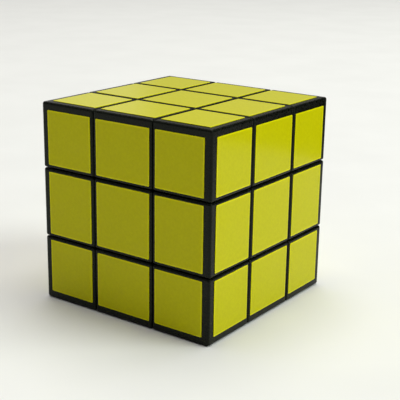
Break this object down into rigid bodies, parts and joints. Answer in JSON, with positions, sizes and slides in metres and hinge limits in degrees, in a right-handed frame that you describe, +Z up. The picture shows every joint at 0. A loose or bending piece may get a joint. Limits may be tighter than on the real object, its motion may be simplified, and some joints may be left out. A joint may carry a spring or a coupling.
{
  "type": "twisting cube puzzle",
  "caption": "Cube-shaped twisting puzzle: layers of black plastic cubies with plain yellow stickers turn about a sprung and screwed inner core.",
  "frame": {"origin": "middle of the underside, on the surface that the cube stands on", "axes": "+Z up, -Y out of the front face, +X out of the right face"},
  "size_m": [0.0574, 0.0574, 0.0573],
  "materials": {
    "black_plastic": "satin moulded black plastic, slightly grained",
    "yellow_vinyl": "satin yellow vinyl sticker",
    "inner_plastic": "self-lubricating dark plastic",
    "core_plastic": "natural white plastic",
    "screw_steel": "zinc plated steel",
    "spring_steel": "drawn spring wire"
  },
  "bodies": {
    "root": {"core_spider": "core_plastic", "tension_screws": "screw_steel", "spring_top": "spring_steel", "spring_bottom": "spring_steel", "spring_front": "spring_steel", "spring_back": "spring_steel", "spring_right": "spring_steel", "spring_left": "spring_steel", "edge_shell_back_left": "black_plastic", "edge_shell_left_front": "black_plastic", "edge_shell_front_right": "black_plastic", "edge_shell_right_back": "black_plastic", "middle_edge_feet": "inner_plastic", "middle_edge_stickers": "yellow_vinyl"},
    "top_washer": {"washer_top": "screw_steel"},
    "top_layer": {"centre_body_top": "black_plastic", "centre_cap_top": "black_plastic", "edge_shell_top_back": "black_plastic", "edge_shell_top_left": "black_plastic", "edge_shell_top_front": "black_plastic", "edge_shell_top_right": "black_plastic", "top_edge_feet": "inner_plastic", "corner_shell_top_right_back": "black_plastic", "corner_shell_top_back_left": "black_plastic", "corner_shell_top_left_front": "black_plastic", "corner_shell_top_front_right": "black_plastic", "top_corner_feet": "inner_plastic", "top_face_stickers": "yellow_vinyl", "top_side_stickers": "yellow_vinyl"},
    "bottom_washer": {"washer_bottom": "screw_steel"},
    "bottom_layer": {"centre_body_bottom": "black_plastic", "centre_cap_bottom": "black_plastic", "edge_shell_bottom_back": "black_plastic", "edge_shell_bottom_left": "black_plastic", "edge_shell_bottom_front": "black_plastic", "edge_shell_bottom_right": "black_plastic", "bottom_edge_feet": "inner_plastic", "corner_shell_bottom_back_left": "black_plastic", "corner_shell_bottom_left_front": "black_plastic", "corner_shell_bottom_front_right": "black_plastic", "corner_shell_bottom_right_back": "black_plastic", "bottom_corner_feet": "inner_plastic", "bottom_face_stickers": "yellow_vinyl", "bottom_side_stickers": "yellow_vinyl"},
    "back_centre": {"washer_back": "screw_steel", "centre_body_back": "black_plastic", "centre_cap_back": "black_plastic", "sticker_back": "yellow_vinyl"},
    "left_centre": {"washer_left": "screw_steel", "centre_body_left": "black_plastic", "centre_cap_left": "black_plastic", "sticker_left": "yellow_vinyl"},
    "front_centre": {"washer_front": "screw_steel", "centre_body_front": "black_plastic", "centre_cap_front": "black_plastic", "sticker_front": "yellow_vinyl"},
    "right_centre": {"washer_right": "screw_steel", "centre_body_right": "black_plastic", "centre_cap_right": "black_plastic", "sticker_right": "yellow_vinyl"}
  },
  "joints": [
    {"name": "top_lift", "type": "slide", "parent": "root", "child": "top_washer", "axis": [0, 0, 1], "range_m": [0, 0.0004], "stiffness_N_per_m": 1500, "springref_m": -0.001, "deforming": ["spring_top"]},
    {"name": "top_turn", "type": "hinge", "parent": "top_washer", "child": "top_layer", "pos_m": [0, 0, 0.02865], "axis": [0, 0, 1], "continuous": true},
    {"name": "bottom_lift", "type": "slide", "parent": "root", "child": "bottom_washer", "axis": [0, 0, -1], "range_m": [0, 0.0004], "stiffness_N_per_m": 1500, "springref_m": -0.001, "deforming": ["spring_bottom"]},
    {"name": "bottom_turn", "type": "hinge", "parent": "bottom_washer", "child": "bottom_layer", "pos_m": [0, 0, 0.02865], "axis": [0, 0, -1], "continuous": true},
    {"name": "back_lift", "type": "slide", "parent": "root", "child": "back_centre", "axis": [0, 1, 0], "range_m": [0, 0.0004], "stiffness_N_per_m": 1500, "springref_m": -0.001, "deforming": ["spring_back"]},
    {"name": "left_lift", "type": "slide", "parent": "root", "child": "left_centre", "axis": [-1, 0, 0], "range_m": [0, 0.0004], "stiffness_N_per_m": 1500, "springref_m": -0.001, "deforming": ["spring_left"]},
    {"name": "front_lift", "type": "slide", "parent": "root", "child": "front_centre", "axis": [0, -1, 0], "range_m": [0, 0.0004], "stiffness_N_per_m": 1500, "springref_m": -0.001, "deforming": ["spring_front"]},
    {"name": "right_lift", "type": "slide", "parent": "root", "child": "right_centre", "axis": [1, 0, 0], "range_m": [0, 0.0004], "stiffness_N_per_m": 1500, "springref_m": -0.001, "deforming": ["spring_right"]}
  ]
}
